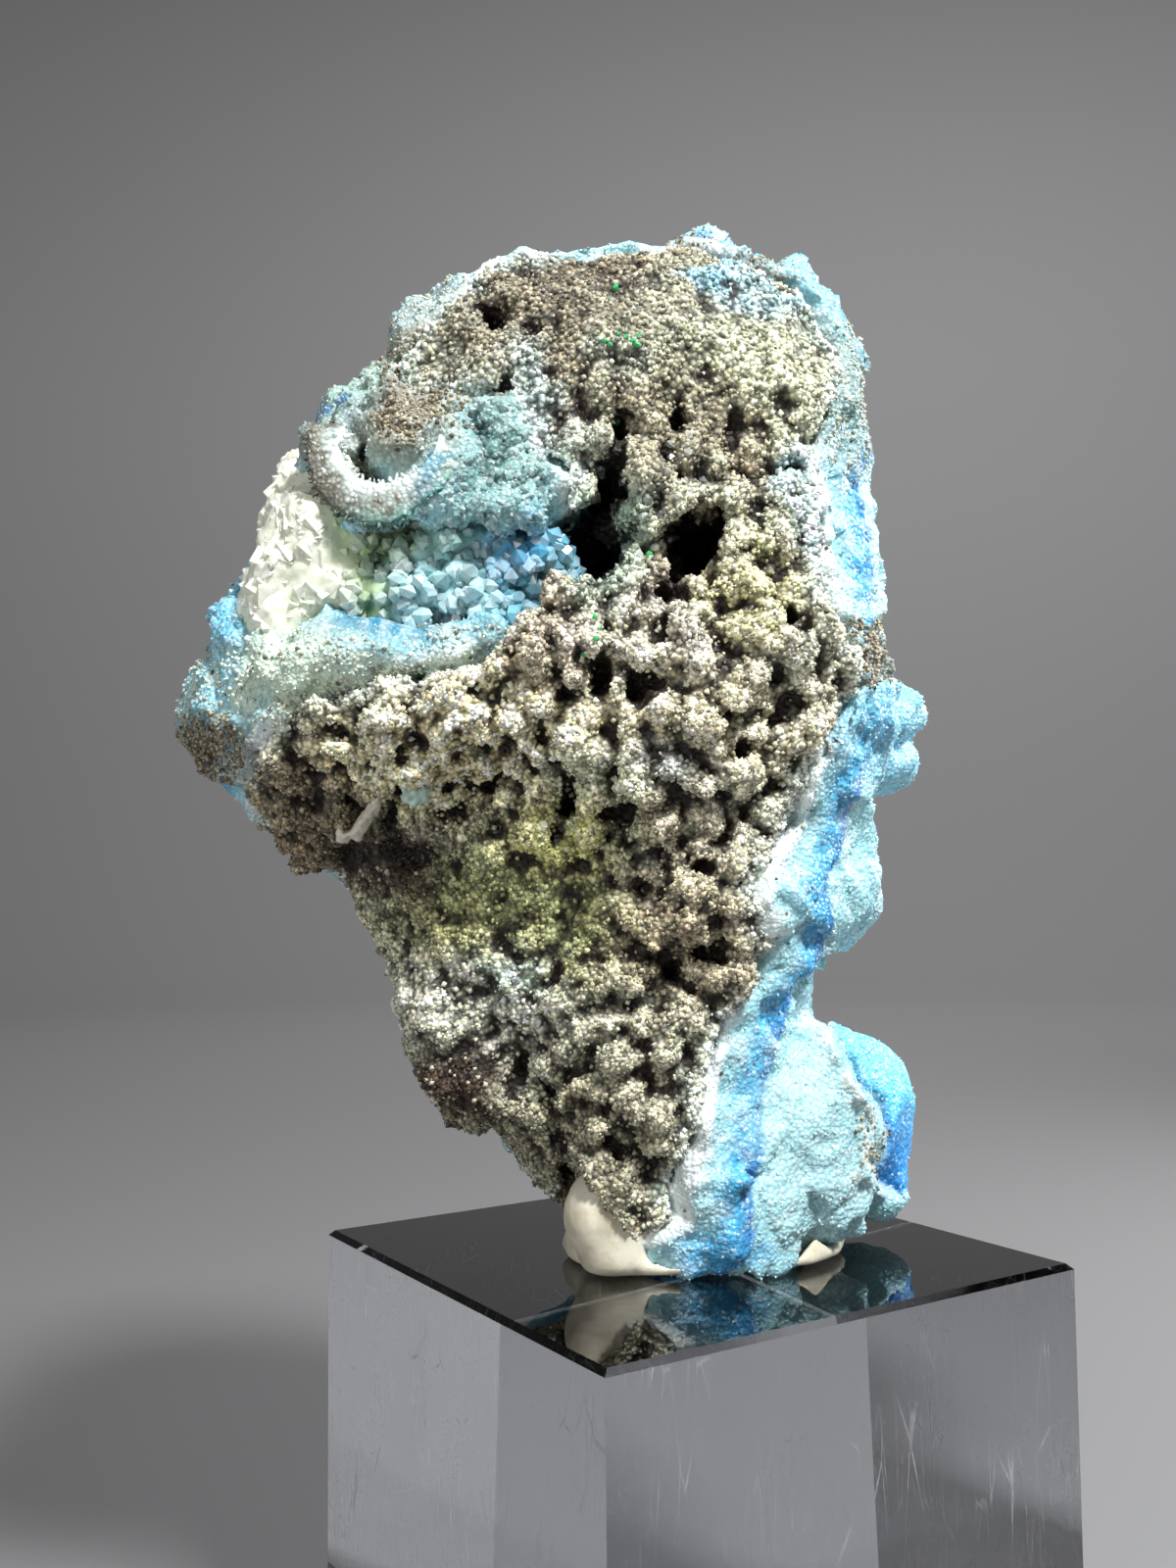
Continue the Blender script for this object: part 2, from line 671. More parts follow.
def strewn(points, triangles, weight, count, rng):
    """Random spots on a surface, more where its points have more weight, with normals and nearby points."""
    face = face_normals(points, triangles)
    area = np.linalg.norm(face, axis=1)
    chance = area * weight[triangles].mean(axis=1)
    pick = rng.choice(len(triangles), count, p=chance / chance.sum())
    share = np.sort(rng.random((count, 2)), axis=1)
    share = np.column_stack([share[:, 0], share[:, 1] - share[:, 0], 1 - share[:, 1]])
    spots = np.einsum("nk,nkj->nj", share, points[triangles[pick]])
    return spots, face[pick] / area[pick, None], triangles[pick, 0]


def any_turns(count, rng):
    turn = rng.normal(size=(count, 4))
    w, x, y, z = (turn / np.linalg.norm(turn, axis=1, keepdims=True)).T
    rows = [
        [1 - 2 * (y * y + z * z), 2 * (x * y - z * w), 2 * (x * z + y * w)],
        [2 * (x * y + z * w), 1 - 2 * (x * x + z * z), 2 * (y * z - x * w)],
        [2 * (x * z - y * w), 2 * (y * z + x * w), 1 - 2 * (x * x + y * y)],
    ]
    return np.moveaxis(np.array(rows), 2, 0)


def turns_along(directions, rng):
    """Turns that lay +Z along each direction, each with a random spin."""
    axis = directions / np.linalg.norm(directions, axis=1, keepdims=True)
    across = np.cross(axis, rng.normal(size=axis.shape))
    across /= np.linalg.norm(across, axis=1, keepdims=True)
    return np.stack([across, np.cross(axis, across), axis], axis=2)


def copies(shape, spots, turns, scales):
    """Copies of a small shape, scaled along its axes, turned, and set on the spots."""
    points, triangles = shape
    placed = np.einsum("nij,nkj->nki", turns, points[None] * scales[:, None]) + spots[:, None]
    starts = len(points) * np.arange(len(spots))
    return placed.reshape(-1, 3), (triangles[None] + starts[:, None, None]).reshape(-1, 3)


# Colours by place


def front_view(points):
    """Where points show in the photograph, in pixels."""
    ahead = points - EYE
    up = -math.sin(PITCH) * ahead[:, 1] + math.cos(PITCH) * ahead[:, 2]
    depth = math.cos(PITCH) * ahead[:, 1] + math.sin(PITCH) * ahead[:, 2]
    right = math.cos(ROLL) * ahead[:, 0] + math.sin(ROLL) * up
    up = math.cos(ROLL) * up - math.sin(ROLL) * ahead[:, 0]
    return np.stack([IMAGE[0] / 2 + FOCAL * right / depth, IMAGE[1] / 2 - FOCAL * up / depth], axis=1)


def stained(colours, points, stains, ragged):
    """Colours with the stains laid over the front of the stone, with ragged edges."""
    place = front_view(points)
    place = place + ragged * np.stack([layered(points, 5, 3, 31), layered(points, 5, 3, 47)], axis=1)
    front = smoothstep(6, -2, points[:, 1])
    for centre, reach, colour, strength in stains:
        far = np.sum(((place - centre) / reach) ** 2, axis=1)
        colours = tinted(colours, colour, strength * front * np.exp(-far * far))
    return colours


def height_on_stone(points):
    return points[:, 2] - BLOCK_TOP


def patches(points, table, ragged, size):
    """The largest amount, at each point, of the patches in a table of centre, reach and amount."""
    place = front_view(points) + ragged * stray(points, size, 33)
    most = np.zeros(len(points))
    for centre, reach, amount in table:
        far = np.sum(((place - centre) / reach) ** 2, axis=1)
        most = np.maximum(most, amount * smoothstep(1.35, 0.6, far))
    return most


def glow(points, spot, back, front):
    """1 in the middle of a spot with a centre and reach, fading out sideways and towards the back."""
    far = np.sum(((front_view(points) - spot[0]) / spot[1]) ** 2, axis=1)
    return np.exp(-far) * smoothstep(back, front, points[:, 1])


def hollow_depth(points):
    """How deep the dark hollows go at the points, in millimetres."""
    return patches(points, HOLLOWS, 8, 2) * smoothstep(2, -4, points[:, 1])


def sunk(points, depth):
    """Points pushed into the stone, away from the front."""
    return points + np.outer(depth, [0, 1, 0])


def druse(points):
    """How thickly small crystals stand on the crust at the points."""
    return patches(points, DRUSES, 14, 4) * smoothstep(-2, -8, points[:, 1])


def fit_together(points, gap_to_other, relief):
    """The relief where a mineral is bare, and a ragged overlap where it meets the other one."""
    bare = smoothstep(0.5, 1.6, gap_to_other)
    ragged = 0.95 * layered(points, 2.8, 3, 35) + 0.5 * (blocky(points, 1.3, 39) - 0.7)
    relief = relief - patches(points, HELD_BACK, 0, 1)
    return bare * relief + (1 - bare) * (0.35 + ragged)


# Materials

# How much the granules of the matrix differ in red, green and blue, and the least of each.
GRANULE_HUES = (0.16, 0.13, 0.28)
LEAST_HUES = (0.92, 0.935, 0.86)

# The sparkling crystals of the crust, as scene-linear values.
SPARKLE = (0.88, 0.95, 0.95, 1)


class Looks:
    """A material with one principled shader, and ways to add nodes to it."""

    def __init__(self, name, **sockets):
        """A value that is the same all over is set straight on the shader's socket of that name."""
        self.material = bpy.data.materials.new(name)
        self.material.use_nodes = True
        self.tree = self.material.node_tree
        self.shader = self.tree.nodes["Principled BSDF"]
        for socket, value in sockets.items():
            self.shader.inputs[socket.replace("_", " ")].default_value = value

    def show(self, socket, value):
        """Link an output to a socket of the shader."""
        self.tree.links.new(value, self.shader.inputs[socket])

    def add(self, kind, inputs, **settings):
        """The outputs of a new node, whose inputs are linked to outputs or set to values."""
        node = self.tree.nodes.new("ShaderNode" + kind)
        for name, value in settings.items():
            setattr(node, name, value)
        for socket, value in inputs.items():
            if isinstance(value, bpy.types.NodeSocket):
                self.tree.links.new(value, node.inputs[socket])
            else:
                node.inputs[socket].default_value = value
        return node.outputs

    def place(self):
        return self.add("TexCoord", {})["Object"]

    def noise(self, size, detail=4.0):
        """Noise by place on the object, with features of about that size in millimetres."""
        return self.add("TexNoise", {"Vector": self.place(), "Scale": 1 / (size * MM), "Detail": detail})

    def mapped(self, value, low, high, to_low, to_high):
        ends = {"From Min": low, "From Max": high, "To Min": to_low, "To Max": to_high}
        return self.add("MapRange", {"Value": value, **ends})["Result"]

    def maths(self, operation, first, second):
        return self.add("Math", {0: first, 1: second}, operation=operation)["Value"]

    def bump(self, height, strength, depth):
        bump = self.add("Bump", {"Height": height, "Strength": strength, "Distance": depth * MM})
        self.show("Normal", bump["Normal"])

    def paint(self, shade, hue=None):
        """The mesh's painted colours, made lighter or darker by a shade and shifted by a hue."""
        colour = self.add("Attribute", {}, attribute_name="mineral")["Color"]
        if hue is not None:
            colour = self.add("VectorMath", {0: colour, 1: hue}, operation="MULTIPLY")["Vector"]
        return self.add("VectorMath", {0: colour, "Scale": shade}, operation="SCALE")["Vector"]

    def granules(self, size):
        """Packed granules: the distance from each one's middle, its own colour and that colour's values."""
        bend = 3 * (size * MM,)
        steps = {0: self.noise(2 * size)["Color"], 1: bend, 2: self.place()}
        bent = self.add("VectorMath", steps, operation="MULTIPLY_ADD")["Vector"]
        cells = self.add("TexVoronoi", {"Vector": bent, "Scale": 1 / (size * MM)})
        return cells["Distance"], cells["Color"], self.add("SeparateColor", {"Color": cells["Color"]})


def stone_material(name, grain, shade, bump_depth, rough, **sockets):
    """A mineral surface with painted colours, speckled and roughened by fine noise."""
    looks = Looks(name, **sockets)
    speckle = looks.noise(grain)["Fac"]
    looks.show("Base Color", looks.paint(looks.mapped(speckle, 0.3, 0.7, *shade)))
    looks.show("Roughness", looks.mapped(speckle, 0.3, 0.7, *rough))
    looks.bump(speckle, 1.0, bump_depth)
    return looks.material


def granular_material(name, size, dark, light, bump_depth):
    """Packed granules of about one size, each with a shade of its own and dark gaps between."""
    looks = Looks(name)
    distance, colour, own = looks.granules(size)
    gaps = looks.mapped(distance, 0.2, 0.85, light, dark)
    shade = looks.maths("MULTIPLY", gaps, looks.mapped(own["Red"], 0.0, 1.0, 0.5, 1.5))
    hue = looks.add("VectorMath", {0: colour, 1: GRANULE_HUES, 2: LEAST_HUES}, operation="MULTIPLY_ADD")
    looks.show("Base Color", looks.paint(shade, hue["Vector"]))
    looks.show("Roughness", looks.mapped(own["Green"], 0.0, 1.0, 0.3, 0.9))
    looks.bump(looks.mapped(distance, 0.0, 1.0, 1.0, 0.0), 1.0, bump_depth)
    return looks.material


def sugary_material(name, size, bump_depth, **sockets):
    """Sugar-like crystals of about one size in painted colours, with white sparkling ones among them."""
    looks = Looks(name, **sockets)
    distance, _, own = looks.granules(size)
    colour = looks.paint(looks.mapped(distance, 0.1, 0.9, 1.12, 0.75))
    middle = looks.mapped(distance, 0.25, 0.7, 1.0, 0.0)
    white = looks.maths("MULTIPLY", looks.mapped(own["Red"], 0.65, 0.95, 0.0, 0.55), middle)
    specks = looks.add("Mix", {"Factor": white, "A": colour, "B": SPARKLE}, data_type="RGBA")
    looks.show("Base Color", specks["Result"])
    looks.show("Roughness", looks.mapped(own["Green"], 0.0, 1.0, 0.15, 0.6))
    looks.bump(looks.mapped(distance, 0.0, 1.0, 1.0, 0.0), 1.0, bump_depth)
    return looks.material


LIMONITE = granular_material("limonite", 0.5, 0.22, 1.9, 0.3)
LIMONITE_GRAIN = stone_material("limonite_grain", 0.3, (0.8, 1.2), 0.04, (0.7, 0.35))
HEMIMORPHITE = sugary_material(
    "hemimorphite", 0.4, 0.16,
    Subsurface_Weight=0.25, Subsurface_Radius=(0.5, 0.9, 1.2), Subsurface_Scale=0.5 * MM,
)
SUGAR = stone_material(
    "hemimorphite_sugar", 0.4, (0.85, 1.15), 0.03, (0.4, 0.15),
    Subsurface_Weight=0.3, Subsurface_Radius=(0.5, 0.9, 1.2), Subsurface_Scale=0.3 * MM,
)
CRYSTAL = stone_material(
    "vug_crystal", 0.7, (0.9, 1.1), 0.02, (0.2, 0.06),
    Transmission_Weight=0.25, IOR=1.62,
)
CHALCEDONY = stone_material(
    "vug_bed", 0.5, (0.88, 1.12), 0.06, (0.4, 0.2),
    Subsurface_Weight=0.4, Subsurface_Radius=(0.9, 1.0, 0.9), Subsurface_Scale=0.8 * MM,
)


def piece(name, shape, material, node, colours=None, smooth=True):
    """A piece of the object on the part's one body, which may stand for a CAD node."""
    points, triangles = shape
    mesh = mesh_of(name, points, triangles)
    mesh.polygons.foreach_set("use_smooth", np.full(len(triangles), smooth))
    mesh.materials.append(material)
    if colours is not None:
        layer = mesh.attributes.new("mineral", "FLOAT_COLOR", "POINT")
        opaque = np.column_stack([colours, np.ones(len(points))])
        layer.data.foreach_set("color", opaque.astype(np.float32).ravel())
    thing = bpy.data.objects.new(name, mesh)
    bpy.context.scene.collection.objects.link(thing)
    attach(thing, "root")
    if node:
        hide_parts(node)


# The brown matrix

crust_tree = tree_of(*node_shape("hemimorphite_crust"))
matrix_tree = tree_of(*node_shape("matrix"))


def forehead(points):
    """1 on the smoother upper part of the matrix, 0 on the lumpy rest."""
    return smoothstep(70, 78, height_on_stone(points) + 4 * noise(points, 9, 5))


def coral(points):
    """Coral-like heads with smaller buds on them, and deep gaps between."""
    wander = np.stack([layered(points, 2.4, 2, seed) for seed in (101, 104, 107)], axis=1)
    heads, own = seeds_near(points + 0.9 * wander, HEAD_SPACING, 8)
    buds, _ = seeds_near(points + 0.4 * wander, BUD_SPACING, 9)
    canyons = smoothstep(0.16, 0.04, np.abs(noise(points, 4.5, 10)))
    canyons = canyons * smoothstep(-0.3, 0.2, noise(points, 7, 14))
    heads = HEAD_HEIGHT * smoothstep(0.8, 0.3, heads) * (0.5 + 0.8 * own)
    return heads + BUD_HEIGHT * smoothstep(0.8, 0.25, buds) - GAP_DEPTH - CANYON_DEPTH * canyons


def foot_cut(points):
    """How far the foot gives way to the putty lobe beside it, in millimetres."""
    place = front_view(points) + 6 * stray(points, 1.5, 36)
    along = (FOOT_EDGE[1] - FOOT_EDGE[0]) / np.linalg.norm(FOOT_EDGE[1] - FOOT_EDGE[0])
    away = place - FOOT_EDGE[0]
    beside = along[0] * away[:, 1] - along[1] * away[:, 0]
    low = smoothstep(-25, 10, away[:, 1]) * smoothstep(-26, -12, away[:, 0])
    return FOOT_EDGE_DEPTH * smoothstep(-2, 12, beside) * low


def matrix_shape():
    rng = np.random.default_rng(11)
    lump = copies(ball(3), DARK_LUMP[None], np.eye(3)[None], np.full((1, 3), DARK_LUMP_RADIUS))
    points, triangles = remeshed(*together(node_shape("matrix"), lump), COARSE_VOXEL)
    points = relaxed(points, triangles, 3)
    round_off = smoothstep(3.0, 1.5, np.linalg.norm(points - LUMP_END, axis=1) / 2)
    points = mixed(points, relaxed(points, triangles, 80), round_off)
    normals = normals_of(relaxed(points, triangles, 12), triangles)
    smooth = forehead(points)
    heads = coral(points)
    lively = 0.85 + 0.35 * noise(points, 14, 12)
    worms = 0.5 * smoothstep(0.3, 0.0, np.abs(noise(points, 1.9, 7)))
    pits = 0.4 * smoothstep(0.42, 0.6, noise(points, 2.2, 3))
    lively = lively * (1 - patches(points, CALM_SLOPES, 10, 5))
    relief = (1 - smooth) * lively * heads + smooth * (worms + 0.06 * heads - pits)
    gap = distance_to(crust_tree, points)
    holes = hollow_depth(points)
    points = points + normals * (fit_together(points, gap, relief) - 0.5)[:, None]
    proud = smoothstep(-1.2, 0.2, relief) * smoothstep(1.5, 0.2, holes)
    points = sunk(points, holes + foot_cut(points) - patches(points, SWELLINGS, 5, 2))
    weight = smoothstep(0.2, 1.0, gap) * (0.04 + proud)
    spots, outward, _ = strewn(points, triangles, weight, GRANULE_COUNT, rng)
    radius = rng.uniform(*GRANULE_RADIUS, GRANULE_COUNT) * (1 - 0.5 * forehead(spots))
    spots = spots - outward * (0.1 * radius)[:, None]
    scales = radius[:, None] * rng.uniform(0.8, 1.2, (GRANULE_COUNT, 3))
    granules = copies(ball(1), spots, any_turns(GRANULE_COUNT, rng), scales)
    return remeshed(*together((points, triangles), granules), MATRIX_VOXEL)


def local_colour(points):
    """The matrix's own colour by place, before light and dark grains."""
    warm = layered(points, 12, 3, 21)
    colours = tinted(linear(KHAKI), UMBER, smoothstep(-0.4, 0.5, warm))
    return stained(colours, points, MATRIX_STAINS, 26)


def near_crust(points):
    """Up to 1 near the crust, in patches: where pale crystals are strewn over the matrix."""
    gap = distance_to(crust_tree, points) + 0.9 * layered(points, 2.5, 2, 22)
    return smoothstep(2.4, 0.4, gap)


def on_shelf(points):
    """1 in the middle of the lumpy shelf with frosted tops."""
    return glow(points, SHELF, 2, -6)


def matrix_colours(points, triangles):
    fine = standing_out(points, triangles, 5) / 0.09
    broad = standing_out(points, triangles, 40) / 0.5
    tone = 0.45 + 0.25 * fine + 0.4 * broad + 0.2 * noise(points, 0.9, 4)
    tone = tone - 0.3 * hollow_depth(points)
    local = tinted(local_colour(points), ROCK_NEAR_CRUST, 0.5 * near_crust(points))
    dark = mixed(linear(CREVICE), 0.6 * local, smoothstep(-0.1, 0.55, tone))
    light = tinted(np.minimum(1.4 * local, 0.85), SHELF_TOP, 0.6 * on_shelf(points))
    return mixed(dark, light, smoothstep(0.35, 1.1, tone))


def grains_on(points, triangles, weight, count, width, rng):
    """Small rounded grains strewn over a surface, and where each one sits."""
    spots, outward, _ = strewn(points, triangles, weight, count, rng)
    scales = rng.uniform(*width, count)[:, None] * rng.uniform(0.7, 1.3, (count, 3))
    return copies(OCTAHEDRON, spots + outward * 0.05, any_turns(count, rng), scales), spots


def matrix_grains(points, triangles):
    """Two sizes of grain on the bare matrix, the finer ones pale and on its heads, and their colours."""
    rng = np.random.default_rng(12)
    bare = smoothstep(0.1, 0.8, distance_to(crust_tree, points)) * smoothstep(1.5, 0.3, hollow_depth(points))
    out = standing_out(points, triangles, 25)
    weight = bare * (0.1 + 0.9 * smoothstep(-0.35, 0.1, out))
    grains, spots = grains_on(points, triangles, weight, MATRIX_GRAIN_COUNT, MATRIX_GRAIN_RADIUS, rng)
    local = tinted(local_colour(spots), GRAIN_NEAR_CRUST, 0.8 * near_crust(spots))
    own = local * (0.25 + 1.85 * rng.beta(1.0, 1.35, MATRIX_GRAIN_COUNT))[:, None]
    glints = (rng.random(MATRIX_GRAIN_COUNT) < 0.2) * smoothstep(0.28, 0.1, local.mean(axis=1))
    own = tinted(own, GLINT, 0.75 * glints)
    heads = bare * smoothstep(0.0, 0.4, out) * (0.5 + on_shelf(points)) * (1 - 0.6 * forehead(points))
    frost, spots = grains_on(points, triangles, heads, MATRIX_FROST_COUNT, MATRIX_FROST_RADIUS, rng)
    local = local_colour(spots)
    whiter = smoothstep(0.08, 0.45, local.mean(axis=1)) * (0.35 + 0.3 * on_shelf(spots))
    pale = tinted(1.6 * local, GRAIN_FROST, whiter)
    corners = len(OCTAHEDRON[0])
    return [
        (grains, np.repeat(np.minimum(own, 0.85), corners, axis=0)),
        (frost, np.repeat(np.minimum(pale, 0.9), corners, axis=0)),
    ]


matrix = matrix_shape()
matrix_paint = matrix_colours(*matrix)
piece("matrix_rock", matrix, LIMONITE, "matrix", matrix_paint)
for name, (grains, grain_colours) in zip(("matrix_grains", "matrix_frost"), matrix_grains(*matrix)):
    piece(name, grains, LIMONITE_GRAIN, "matrix", grain_colours)

# The blue crust


def curl_place(points):
    """Distance from the curl's middle, turn in degrees from its lowest point, and 1 on the stone's front."""
    across = points[:, 0] - CURL_CENTRE[0]
    above = points[:, 2] - CURL_CENTRE[1]
    turn = np.degrees(np.arctan2(across, -above))
    return np.hypot(across, above), turn, smoothstep(-11, -14, points[:, 1])


def curl_ridge(points):
    """1 on the ridge of the crust under the curl's lip."""
    distance, turn, front = curl_place(points)
    arc = smoothstep(128, 105, np.abs(turn))
    return front * arc * smoothstep(1.9, 1.0, np.abs(distance - CURL_RADIUS))


def curl_groove(points):
    """1 in the dark groove inside the left of the curl."""
    distance, turn, front = curl_place(points)
    arc = smoothstep(-5, -30, turn) * smoothstep(-140, -115, turn)
    return front * arc * np.exp(-(((distance - CURL_RADIUS + GROOVE_INSET) / GROOVE_WIDTH) ** 2))


def blue_roll(points):
    """1 on the smooth blue roll below the vug."""
    return glow(points, BLUE_ROLL, -2, -8)


def behind_plate(points):
    """How far points show right of the plate's ragged crest, in pixels, and 1 beside the crest."""
    place = front_view(points) + 5 * stray(points, 1.6, 41)
    beside = place[:, 0] - np.interp(place[:, 1], PLATE_CREST[:, 1], PLATE_CREST[:, 0])
    level = smoothstep(1028, 1042, place[:, 1]) * smoothstep(1228, 1216, place[:, 1])
    return beside, level * smoothstep(14, 6, points[:, 1])


def crust_shape():
    lump = copies(ball(3), CURL_LUMP[:1], np.eye(3)[None], CURL_LUMP[1:])
    points, triangles = remeshed(*together(node_shape("hemimorphite_crust"), lump), CRUST_VOXEL)
    points = relaxed(points, triangles, 3)
    points = mixed(points, relaxed(points, triangles, 60), patches(points, WORN_RIM, 0, 1))
    normals = normals_of(points, triangles)
    beside, level = behind_plate(points)
    lobes = level * smoothstep(0, 9, beside)
    rear = smoothstep(-6, 8, points[:, 1])
    knobs = 1.2 * (domes(points, LARGE_KNOBS, 60) - 0.75) + 0.7 * (domes(points, SMALL_KNOBS, 62) - 0.75)
    knobs = knobs + (1.5 + 0.8 * noise(points, 15, 59)) * (domes(points, MIDDLE_KNOBS, 61) - 0.75)
    sugary = 0.45 * layered(points, 3.5, 3, 63) + 0.2 * facets(points, 2.2, 64) + 0.2 * facets(points, 5, 65)
    ridge = curl_ridge(points)
    lumpy = druse(points) * (1.5 * domes(points, 2.0, 66) - 1.0)
    calm = (1 - 0.7 * rear) * (1 - 0.8 * ridge) * (1 - 0.8 * blue_roll(points))
    relief = rear * knobs + calm * (sugary + lumpy)
    relief = relief + lobes * (1.7 * (domes(points, 5.0, 67) - 0.6) - relief)
    crest = level * np.exp(-(((beside + 6) / 7) ** 2)) * (0.7 + 0.6 * noise(points, 1.1, 43))
    step = 2.6 * lobes + 0.9 * level * np.exp(-(((beside - 8) / 7) ** 2)) - crest
    out = fit_together(points, distance_to(matrix_tree, points), relief)
    depth = hollow_depth(points) + step - 0.7 * ridge + GROOVE_DEPTH * curl_groove(points)
    return sunk(points + normals * out[:, None], depth), triangles


def layer_colours(points, triangles):
    """Blue layers that follow the matrix below them in front, and knobs with pale tops on the back."""
    depth = distance_to(matrix_tree, points) + 0.6 * layered(points, 9, 2, 71) + 0.3 * noise(points, 1.2, 75)
    depth = depth + 1.4 * (domes(points, 6.5, 76) - 0.75)
    colours = tinted(linear(FROST), PALE_BLUE, smoothstep(0.2, 1.4, depth))
    colours = tinted(colours, SKY_BLUE, smoothstep(1.8, 4.0, depth))
    colours = tinted(colours, DEEP_BLUE, smoothstep(4.4, 5.9, depth) ** 2 * 0.8)
    colours = tinted(colours, PALE_BLUE, smoothstep(6.0, 6.5, depth))
    rear = smoothstep(-2, 6, points[:, 1])
    crown = smoothstep(-0.5, 0.6, standing_out(points, triangles, 60) + 0.3 * layered(points, 6, 2, 72))
    grown = tinted(linear(DEEP_BLUE), SKY_BLUE, smoothstep(0.0, 0.45, crown))
    grown = tinted(grown, PALE_BLUE, smoothstep(0.5, 1.0, crown))
    colours = mixed(colours, grown, rear)
    frosted = smoothstep(0.15, 0.6, layered(points, 1.6, 2, 73)) * 0.35
    return tinted(colours, FROST, frosted * (1 - rear))


def speckled_colours(colours, points):
    """Colours with white and brown specks in the speckled patches."""
    speckled = patches(points, SPECKLED, 14, 4)
    white = smoothstep(0.2, 0.6, noise(points, 0.9, 45))
    colours = tinted(colours, WHITE_SPECK, 0.7 * speckled * white)
    brown = smoothstep(0.3, 0.55, noise(points, 0.8, 46) + 0.25 * noise(points, 3, 48))
    return tinted(colours, BROWN_SPECK, 0.55 * speckled * brown)


def plate_colours(colours, points, triangles):
    """Colours with the plate's pale crest and the bright blue lobes behind it."""
    beside, level = behind_plate(points)
    high = smoothstep(1190, 1060, front_view(points)[:, 1] + 40 * noise(points, 2.5, 47))
    lobe = tinted(linear(LOW_LOBE), HIGH_LOBE, high)
    lobe = lobe * (0.45 + 0.75 * smoothstep(-0.5, 0.4, standing_out(points, triangles, 40)))[:, None]
    colours = mixed(colours, lobe, level * smoothstep(0, 8, beside))
    crest = level * np.exp(-(((beside + 7) / 9) ** 2)) * smoothstep(-0.5, 0.5, noise(points, 0.8, 44))
    return tinted(colours, CREST, 0.8 * crest)


def curl_colours(colours, points):
    """Colours with the pale ridge of the curl, which is brown on its outer left side."""
    ridge = curl_ridge(points)
    colours = tinted(colours, RIDGE, smoothstep(0.25, 0.6, ridge))
    distance, turn, _ = curl_place(points)
    outer = smoothstep(-0.4, 0.5, distance - CURL_RADIUS + 0.5 * noise(points, 1.1, 79))
    outer = outer * smoothstep(15, -45, turn)
    return tinted(colours, RIDGE_SIDE, 0.8 * outer * smoothstep(0.1, 0.4, ridge))


def crust_colours(points, triangles):
    colours = stained(layer_colours(points, triangles), points, CRUST_STAINS, 20)
    creases = druse(points) * smoothstep(0.05, -0.3, standing_out(points, triangles, 20))
    colours = mixed(colours, 0.3 * colours * np.array([0.7, 1.0, 1.0]), creases)
    colours = speckled_colours(colours, points)
    colours = plate_colours(colours, points, triangles)
    streaks = smoothstep(0.0, 0.5, noise(points / np.array([0.8, 3.5, 3.5]), 1, 77))
    colours = tinted(colours, FROST, 0.45 * streaks * blue_roll(points))
    colours = curl_colours(colours, points)
    sunken = smoothstep(0.8, 2.0, hollow_depth(points))
    dark = np.maximum(smoothstep(0.3, 0.7, curl_groove(points)), sunken)
    return tinted(colours, CREVICE, 0.9 * dark)


def sugar_grains(points, triangles, colours):
    """Fine pale grains on the front of the crust, and their colours."""
    rng = np.random.default_rng(13)
    bare = smoothstep(0.0, 0.4, distance_to(matrix_tree, points)) * smoothstep(1.5, 0.3, hollow_depth(points))
    front = smoothstep(12, 0, points[:, 1])
    weight = bare * (0.04 + front) * (1 - 0.9 * blue_roll(points))
    spots, outward, corner = strewn(points, triangles, weight, SUGAR_GRAIN_COUNT, rng)
    radius = rng.uniform(*SUGAR_GRAIN_RADIUS, SUGAR_GRAIN_COUNT)
    scales = radius[:, None] * rng.uniform(0.6, 1.4, (SUGAR_GRAIN_COUNT, 3))
    grains = copies(OCTAHEDRON, spots + outward * 0.04, any_turns(SUGAR_GRAIN_COUNT, rng), scales)
    own = tinted(colours[corner], FROST, 0.6 * rng.random(SUGAR_GRAIN_COUNT))
    return grains, np.repeat(own, len(OCTAHEDRON[0]), axis=0)


def brown_grains(points, triangles):
    """Grains of the matrix on the crust, in patches and along its edge, and their colours."""
    rng = np.random.default_rng(19)
    gap = distance_to(matrix_tree, points)
    edge = smoothstep(0.1, 0.3, gap) * smoothstep(1.3, 0.5, gap + 0.6 * noise(points, 1.8, 38))
    brown = np.maximum(patches(points, BROWN_PATCHES, 12, 3), 0.03 * edge)
    brown = np.maximum(brown, 0.3 * patches(points, SPECKLED, 14, 4)) * smoothstep(6, 0, points[:, 1])
    weight = brown * (1 - 0.9 * curl_ridge(points))
    grains, spots = grains_on(points, triangles, weight, BROWN_GRAIN_COUNT, BROWN_GRAIN_RADIUS, rng)
    own = tinted(linear(DARK_GRAIN), LIGHT_GRAIN, rng.beta(1.3, 1.8, BROWN_GRAIN_COUNT))
    pale = patches(spots, SPECKLED, 14, 4) * (rng.random(BROWN_GRAIN_COUNT) < 0.9)
    own = tinted(own, PALE_GRAIN, pale * (1 - patches(spots, BROWN_PATCHES, 12, 3)))
    return grains, np.repeat(own, len(OCTAHEDRON[0]), axis=0)


crust = crust_shape()
crust_paint = crust_colours(*crust)
piece("blue_crust", crust, HEMIMORPHITE, "hemimorphite_crust", crust_paint)
grains, grain_colours = sugar_grains(*crust, crust_paint)
piece("crust_sugar", grains, SUGAR, "hemimorphite_crust", grain_colours, smooth=False)
grains, grain_colours = brown_grains(*crust)
piece("crust_brown_grains", grains, LIMONITE_GRAIN, None, grain_colours)

# The crystals of the vug


def in_vug(points):
    """1 in the hollow of the vug, 0 on the pale mass to its left."""
    return smoothstep(-29.5, -26, points[:, 0] + 1.2 * noise(points, 3, 81))


